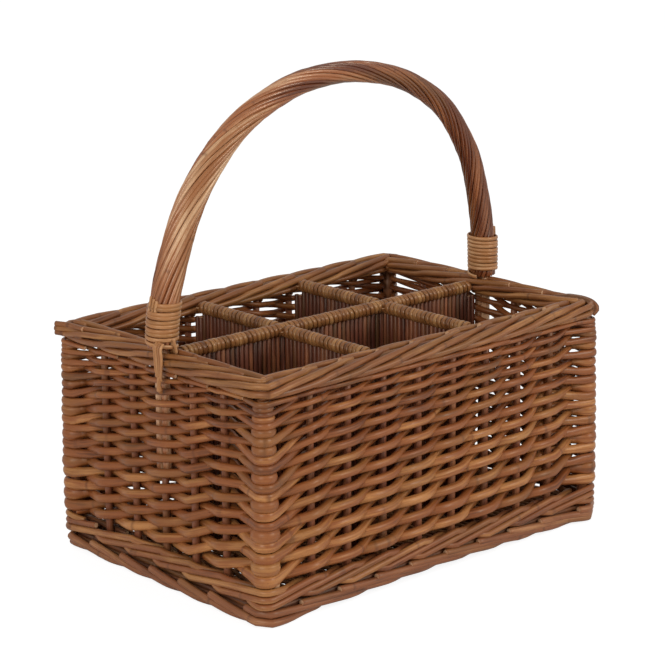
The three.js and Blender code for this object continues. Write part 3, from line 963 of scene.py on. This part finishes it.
# Handle: a bow with strands laid round it, hand bent and not quite even
handle = {
    "halfSpan": 168.0,
    "foot": 184.2,
    "crown": 368.4,
    "baseRadius": 10.85,
    "strands": 17,
    "strandFat": 1.08,  # how much the strands press on each other
    "coreShare": 0.8,
    "turns": 2.75,
    "twist": (0.66, 0.34),  # even share of the turns, and the share that grows to the right
    # painted light and shade along each strand, by share of its length: lighter on the left leg where the
    # side lamp falls, darker over the crown and the right leg, and darker at the left foot
    "lightAndShadeAt": [0.04, 0.16, 0.3, 0.46, 0.66, 1],
    "lightAndShade": [-0.34, 0.12, 0.16, -0.36, -0.45, -0.44],
    "rings": 150,
    "seed": 61,
}
handleShares = [
    (-1, 0), (-0.988, 0.116), (-0.962, 0.232), (-0.918, 0.362), (-0.855, 0.504), (-0.761, 0.646),
    (-0.637, 0.77), (-0.497, 0.868), (-0.335, 0.938), (-0.176, 0.981), (0.04, 1), (0.251, 0.983),
    (0.445, 0.936), (0.626, 0.852), (0.755, 0.752), (0.893, 0.563), (0.952, 0.398), (0.991, 0.22),
    (1, 0),
]

# Girth along the handle, from the left foot: butts are thick and tips thin
handleFullness = [1, 1.047, 1.028, 0.916, 0.85, 0.785, 0.766, 0.776, 0.794, 0.87, 0.953]

handleRise = handle["crown"] - handle["foot"]
handleLine = smoothLine(
    [(x * handle["halfSpan"], 0.0, handle["foot"] + z * handleRise) for x, z in handleShares],
    handle["rings"],
)
handleWays = np.arange(handle["rings"]) / (handle["rings"] - 1)


def handleRadius(t):
    spots = np.linspace(0, 1, len(handleFullness))
    return handle["baseRadius"] * np.interp(t, spots, handleFullness)


def handleStrands(bundle):
    rng = random.Random(handle["seed"])
    tangents = directionsOf(handleLine)
    across = np.array([0.0, 1.0, 0.0])
    sides = np.cross(across, tangents)
    sides /= np.linalg.norm(sides, axis=1, keepdims=True)
    girths = handleRadius(handleWays)
    share = sin(pi / handle["strands"])
    even, growing = handle["twist"]
    for k in range(handle["strands"]):
        path, radii = [], []
        fat = rng.uniform(0.93, 1.07)
        for i, (t, outer) in enumerate(zip(handleWays, girths)):
            strand = outer * share / (1 + share) * handle["strandFat"]
            twist = handle["turns"] * (even * t + growing * t * t)
            angle = fullTurn * (k / handle["strands"] + twist) + 0.05 * sin(9 * t + 2 * k)
            reach = outer - strand + 0.14 * sin(14 * t + 1.7 * k)
            around = sides[i] * (reach * cos(angle)) + across * (reach * sin(angle))
            path.append(handleLine[i] + around)
            radii.append(strand * fat)
        # painted light and shade: the strand is lighter on the lit left leg and darker over the crown and
        # the right leg
        lightAndShade = np.interp(alongRod(path, 0, 1), handle["lightAndShadeAt"], handle["lightAndShade"])
        tone = rng.uniform(0.35, 0.8) + 0.12 * np.sin(alongRod(path, 0, 7) + k) + lightAndShade
        addRod(bundle, path, radii, tone, ends=(False, False), seed=400 + k)
    # the core under the strands is given a dark tone: painted shade in the grooves between the strands
    addRod(bundle, handleLine, girths * handle["coreShare"], 0.15, sides=12, ends=(False, False))


bundle = newBundle()
handleStrands(bundle)
finishBundle(bundle, "handle_strands", "handle", ["handle_rope"])
print("stage: handle laid")


# Middle and radius of one leg of the handle at a height
def legAt(z, sign):
    leg = handle["rings"] // 4
    part = handleLine[:leg] if sign < 0 else handleLine[::-1][:leg]
    x = np.interp(z, part[:, 2], part[:, 0])
    return x, handleRadius(np.interp(z, part[:, 2], handleWays[:leg]))


# Whipping: flat skein wound round each foot of the handle
whipping = {
    "turns": 9.55,
    "firstAngle": 165,
    "bottom": 187.9,
    "pitch": 3.15,
    "width": 3.1,
    "thickness": 1.5,
    "steps": 40,
    "dropped": 4.6,  # how far the lowest turn hangs at its loose side
    "tuck": 1.3,  # how far both ends go in under the turns
    "tuckTurns": 0.12,
    "ends": [(12, 5.0), (-6, 3.6), (-20, 2.4)],  # angle on the leg, and rise
    "endRadius": 1.3,
}


def besideLeg(z, sign, angle, gap):
    # a point on the leg of the handle, and the way out from it
    x, reach = legAt(z, sign)
    away = np.array([sign * cos(angle), -sign * sin(angle), 0.0])
    return np.array([x, 0.0, z]) + away * (reach + gap), away


def whippingSkein(bundle, sign):
    path, outward = [], []
    turns = whipping["turns"]
    for i in range(int(turns * whipping["steps"]) + 1):
        turn = i / whipping["steps"]
        z = whipping["bottom"] + whipping["pitch"] * turn
        z -= whipping["dropped"] * max(0.0, 1 - turn / 0.8) ** 1.3
        z += 0.25 * sin(3.1 * turn)
        tuck = sum(max(0.0, 1 - left / whipping["tuckTurns"]) for left in (turn, turns - turn))
        gap = whipping["thickness"] / 2 + 0.2 - whipping["tuck"] * tuck
        angle = radians(whipping["firstAngle"]) + fullTurn * turn
        point, away = besideLeg(z, sign, angle, gap)
        path.append(point)
        outward.append(away)
    tone = 0.55 + 0.15 * np.sin(np.arange(len(path)) * 0.16)
    addSkein(bundle, path, outward, whipping["width"], whipping["thickness"], tone)
    # cut ends of the skein, caught under the turns
    high = whipping["bottom"] + whipping["pitch"] * turns
    for angle, rise in whipping["ends"]:
        levels = np.linspace(high - 5.0, high + rise, 6)
        path = [besideLeg(z, sign, radians(angle), 0.5)[0] for z in levels]
        addRod(bundle, path, whipping["endRadius"], 0.7, sides=8)


# Lashing: strands from under the whipping over the rim, drawn together in a
# knot with one loose end
lashing = {
    "strands": 4,
    "radius": 1.14,
    "spread": 2.5,
    "aside": 11.0,  # how far along the wall they hang
    "route": [  # up, out, and how wide apart the strands are there
        (191.0, 9.6, 1.0), (188.0, 12.3, 1.0), (182.0, 12.0, 1.0), (176.0, 11.8, 0.95),
        (170.0, 11.7, 0.8), (166.0, 11.2, 0.55), (163.0, 10.2, 0.3),
    ],
    "tail": [(165.5, 10.6), (162.5, 11.2), (159.5, 11.3), (156.5, 11.0), (153.5, 9.4)],
    "tailGirth": [2.2, 1.7, 1.7, 2.5, 1.1],
    "innerStrands": 3,
    "innerAside": 8.6,
    "innerRoute": [(192.5, -1.0), (188.5, -1.6), (185.0, -2.6), (182.3, -3.0)],
}


def lashingStrands(bundle, w):
    for k in range(lashing["strands"]):
        offset = (k - (lashing["strands"] - 1) / 2) * lashing["spread"]
        route = []
        for z, n, gather in lashing["route"]:
            u = lashing["aside"] + offset * gather
            route.append(onWall(w, u, n + 0.25 * sin(2.0 * k + z), z))
        radii = lashing["radius"] * np.interp(np.linspace(0, 1, 30), [0, 0.6, 1], [1.0, 1.0, 0.75])
        addRod(bundle, smoothLine(route, 30), radii, 0.5 + 0.14 * sin(2.3 * k))
    tail = smoothLine([onWall(w, lashing["aside"] - 0.4, n, z) for z, n in lashing["tail"]], 20)
    radii = np.interp(np.linspace(0, 1, 20), [0, 0.25, 0.5, 0.75, 1], lashing["tailGirth"])
    addRod(bundle, tail, radii, 0.45)
    for k in range(lashing["innerStrands"]):
        u = lashing["innerAside"] + k * lashing["spread"]
        route = [onWall(w, u, n, z) for z, n in lashing["innerRoute"]]
        addRod(bundle, smoothLine(route, 12), lashing["radius"], 0.55 + 0.1 * k)


# The two ends of the bow that run down into the short wall
bow = {"clearance": 0.15, "fat": 0.1, "top": 183.8, "seed": 83}


def bowEnds(bundle, w, rng):
    for side in (-1, 1):
        u = side * (body["bowRadius"] + bow["clearance"])
        levels = np.linspace(body["bowBottom"], bow["top"], 10)
        path = [onWall(w, u + 0.2 * sin(0.05 * z), 0.0, z) for z in levels]
        addRod(bundle, path, body["bowRadius"] + bow["fat"], rng.uniform(0.62, 0.78), seed=500 + side)


rng = random.Random(bow["seed"])
for w in (walls[1], walls[3]):
    wound, lash, bowRods = newBundle(), newBundle(), newBundle()
    whippingSkein(wound, w["out"][0])
    finishBundle(wound, "whipping_skein_" + w["name"], "skein", ["whipping_" + w["name"]])
    lashingStrands(lash, w)
    finishBundle(lash, "lashing_strands_" + w["name"], "skein", ["lashing_" + w["name"]])
    bowEnds(bowRods, w, rng)
    finishBundle(bowRods, "bow_rods_" + w["name"], "handle", ["bow_end_" + w["name"]])
print("stage: handle bound")

# Dividers: close uprights under a bar that is wrapped with skein
divider = {
    "barRadius": 4.2,
    "barHeight": 176.5,
    "uprightRadius": 1.9,
    "uprightPitch": 4.5,
    "skeinWidth": 3.9,
    "skeinThickness": 1.4,
    "skeinPitch": 4.3,
    "underRim": 7.5,  # how far the rim reaches in over a panel
    "barGap": 0.4,  # where a bar ends at another bar
    "wrapSteps": 14,
    "seed": 97,
}


def dividerPanel(rods, wraps, start, end, atWalls, rng):
    start, end = np.array(start, float), np.array(end, float)
    length = np.linalg.norm(end - start)
    way = (end - start) / length
    across = np.array([-way[1], way[0], 0.0])
    up = np.array([0.0, 0.0, 1.0])
    barStart, endGap = (divider["underRim" if atWall else "barGap"] for atWall in atWalls)
    barEnd = length - endGap
    count = int(length / divider["uprightPitch"])
    for i in range(count):
        place = (i + 0.5) * length / count
        at = start + way * place
        underBar = barStart < place < barEnd
        top = divider["barHeight"] - 1.0 if underBar else body["rimBottom"] - 0.6
        bend = rng.uniform(-0.5, 0.5)
        path = []
        for z in np.linspace(body["baseTop"] + 0.2, top, 7):
            path.append(at + across * bend * sin((z - body["baseTop"]) / 45) + up * z)
        radius = divider["uprightRadius"] * rng.uniform(0.88, 1.08)
        addRod(rods, path, radius, rng.uniform(0.2, 0.75), sides=8, seed=600 + i)
    middle = start + up * divider["barHeight"]
    bar = [middle + way * t for t in np.linspace(barStart, barEnd, 12)]
    addRod(wraps, bar, divider["barRadius"] - 0.2, 0.3)
    wound = barEnd - barStart - 2.0
    turns = int(wound / divider["skeinPitch"])
    reach = divider["barRadius"] + divider["skeinThickness"] / 2 - 0.25
    path, outward = [], []
    for i in range(turns * divider["wrapSteps"] + 1):
        turn = i / divider["wrapSteps"]
        out = across * cos(fullTurn * turn) + up * sin(fullTurn * turn)
        along = barStart + 1.0 + wound * turn / turns + 0.35 * sin(1.3 * turn)
        path.append(middle + way * along + out * reach * (1 + 0.03 * sin(2.1 * turn)))
        outward.append(out)
    tone = 0.5 + 0.22 * np.sin(np.arange(len(path)) * 0.083)
    addSkein(wraps, path, outward, divider["skeinWidth"], divider["skeinThickness"], tone)


rng = random.Random(divider["seed"])
for part in ("long", "left_front", "left_back", "right_front", "right_back"):
    name = "divider_" + part
    low, high = (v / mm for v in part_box(name))
    middle = (low.x + high.x) / 2
    start, end, atWalls = (middle, low.y, 0), (middle, high.y, 0), (low.y < 0, high.y > 0)
    if part == "long":
        start, end, atWalls = (low.x, 0, 0), (high.x, 0, 0), (True, True)
    rods, wraps = newBundle(), newBundle()
    dividerPanel(rods, wraps, start, end, atWalls, rng)
    finishBundle(rods, name + "_rods", "divider", [name])
    finishBundle(wraps, name + "_wrap", "wrap")
print("stage: dividers stood")

# Base: sticks along the basket with rods woven across them
base = {
    "stickRadius": 1.9,
    "weaverRadius": 1.5,
    "sticks": 9,
    "stickInset": 3.0,
    "weaverPitch": 3.4,
    "weaverInset": 2.0,
    "short": 0.8,  # how far all ends stay inside the edge
    "seed": 101,
}


def baseMat(bundle):
    rng = random.Random(base["seed"])
    low, high = (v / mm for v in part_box("base_mat"))
    middle = (body["baseBottom"] + body["baseTop"]) / 2
    short, gaps = base["short"], base["sticks"] - 1
    reach = high.y - base["stickInset"]
    for i in range(base["sticks"]):
        y = -reach + 2 * reach * i / gaps
        xs = np.linspace(low.x + short, high.x - short, 24)
        path = [(x, y + 0.5 * sin(x / 37 + y), middle) for x in xs]
        addRod(bundle, path, base["stickRadius"], rng.uniform(0.3, 0.6), seed=int(700 + y))
    width = high.x - low.x - 2 * base["weaverInset"]
    count = int(width / base["weaverPitch"])
    lift = 0.62 * (base["stickRadius"] + base["weaverRadius"] * 0.92)
    for i in range(count):
        x = low.x + base["weaverInset"] + (i + 0.5) * width / count
        path = []
        for y in np.linspace(low.y + short, high.y - short, 8 * gaps + 3):
            wave = cos(pi * (y + reach) / (2 * reach) * gaps + pi * (i % 2))
            path.append((x + 0.25 * sin(y / 19 + i), y, middle + lift * wave))
        radius = base["weaverRadius"] * rng.uniform(0.9, 1.05)
        addRod(bundle, path, radius, rng.uniform(0.25, 0.75), sides=8, seed=800 + i)


bundle = newBundle()
baseMat(bundle)
finishBundle(bundle, "base_weave", "base", ["base_mat"])
print("stage: base woven")

# Floor, world, lights and camera
studio = {
    "floorSize": 14.0,
    "floorColor": (0.86, 0.86, 0.86, 1),
    "floorWhite": 0.7,  # share of plain white the camera sees in the floor
    "floorGlow": 1.25,
    "worldFill": 0.56,
    "lampAim": (0, 0, 0.16),
}
lamps = {
    "key": {"power": 24.5, "place": (1.0, -2.5, 1.5), "size": 0.8},
    "side": {"power": 23.0, "place": (-2.5, -1.0, 1.3), "size": 1.2},
    "top": {"power": 2.0, "place": (0.2, 0.6, 2.6), "size": 1.8},
}


def buildFloor():
    mesh = bpy.data.meshes.new("floor")
    h = studio["floorSize"] / 2
    mesh.from_pydata([(-h, -h, 0), (h, -h, 0), (h, h, 0), (-h, h, 0)], [], [(0, 1, 2, 3)])
    floor = addObject("floor", mesh)
    material = bpy.data.materials.new("studio_floor")
    nodes = nodesOf(material)
    nodes.clear()
    diffuse, white, light, seen, join, output = (
        nodes.new("ShaderNode" + kind)
        for kind in ("BsdfDiffuse", "Emission", "LightPath", "Math", "MixShader", "OutputMaterial")
    )
    feed(diffuse, "Color", studio["floorColor"])
    feed(white, "Color", (1, 1, 1, 1))
    feed(white, "Strength", studio["floorGlow"])
    seen.operation = "MULTIPLY"
    feed(seen, 0, light.outputs["Is Camera Ray"])
    feed(seen, 1, studio["floorWhite"])
    for i, part in enumerate((seen, diffuse, white)):
        feed(join, i, part.outputs[0])
    feed(output, "Surface", join.outputs[0])
    mesh.materials.append(material)


def buildWorld():
    world = bpy.data.worlds.new("studio")
    nodes = nodesOf(world)
    background = nodes["Background"]
    light = nodes.new("ShaderNodeLightPath")
    strength = nodes.new("ShaderNodeMapRange")
    feed(strength, "Value", light.outputs["Is Camera Ray"])
    feed(strength, "To Min", studio["worldFill"])
    feed(strength, "To Max", 1.0)
    feed(background, "Color", (1, 1, 1, 1))
    feed(background, "Strength", strength.outputs["Result"])
    bpy.context.scene.world = world


def softBox(name, place, size, power):
    lamp = bpy.data.lights.new(name, "AREA")
    lamp.shape = "SQUARE"
    lamp.size = size
    lamp.energy = power
    box = addObject(name, lamp)
    box.location = place
    way = Vector(studio["lampAim"]) - Vector(place)
    box.rotation_euler = way.to_track_quat("-Z", "Y").to_euler()


camera = {
    "azimuth": -41.77,
    "elevation": 14.6,
    "distance": 1.7375,
    "aim": (0.00027, 0.0, 0.1757),
    "roll": -0.458,
    "lens": 120.1,
    "shiftY": -0.021,
}


def buildCamera():
    data = bpy.data.cameras.new("camera")
    data.sensor_width = 36
    data.lens = camera["lens"]
    data.shift_y = camera["shiftY"]
    data.clip_end = 50
    eye = addObject("camera", data)
    a, e = radians(camera["azimuth"]), radians(camera["elevation"])
    back = Vector((sin(a) * cos(e), -cos(a) * cos(e), sin(e)))
    eye.location = Vector(camera["aim"]) + back * camera["distance"]
    eye.rotation_euler = back.to_track_quat("Z", "Y").to_euler()
    eye.rotation_euler.rotate_axis("Z", radians(camera["roll"]))
    bpy.context.scene.camera = eye


buildFloor()
buildWorld()
for name, lamp in lamps.items():
    softBox(name, **lamp)
buildCamera()
bpy.context.scene.view_settings.view_transform = "Standard"
print("stage: studio set")
